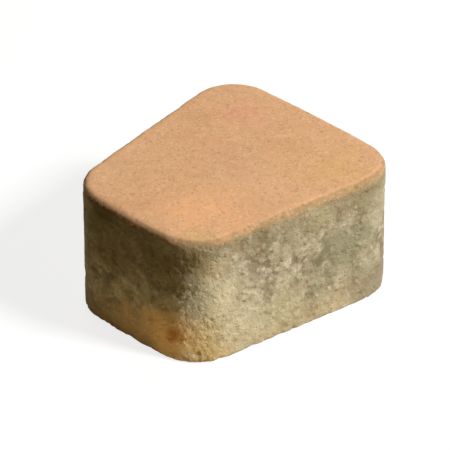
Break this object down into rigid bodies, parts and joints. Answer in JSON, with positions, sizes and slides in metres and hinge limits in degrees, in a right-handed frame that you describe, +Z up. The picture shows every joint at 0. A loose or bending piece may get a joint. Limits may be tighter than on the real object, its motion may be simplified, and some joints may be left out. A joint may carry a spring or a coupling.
{
  "type": "paving stone",
  "caption": "Wedge-shaped concrete paving stone with rounded corners, a flat coloured wear face with a rounded arris, and a grey-brown body that stands on a flat bed face.",
  "frame": {"origin": "middle of the bed face's bounding box, where the stone stands on its bedding", "axes": "+Z up through the wear face, +Y from the narrow end to the wide end, +X across the stone, which is a mirror image of itself about X = 0"},
  "size_m": [0.101, 0.113, 0.06],
  "materials": {
    "pressed_concrete": "matt, fine sandy facing on top and coarse grey-brown concrete on the walls and underside"
  },
  "bodies": {
    "root": {"paving_stone": "pressed_concrete"}
  },
  "joints": []
}
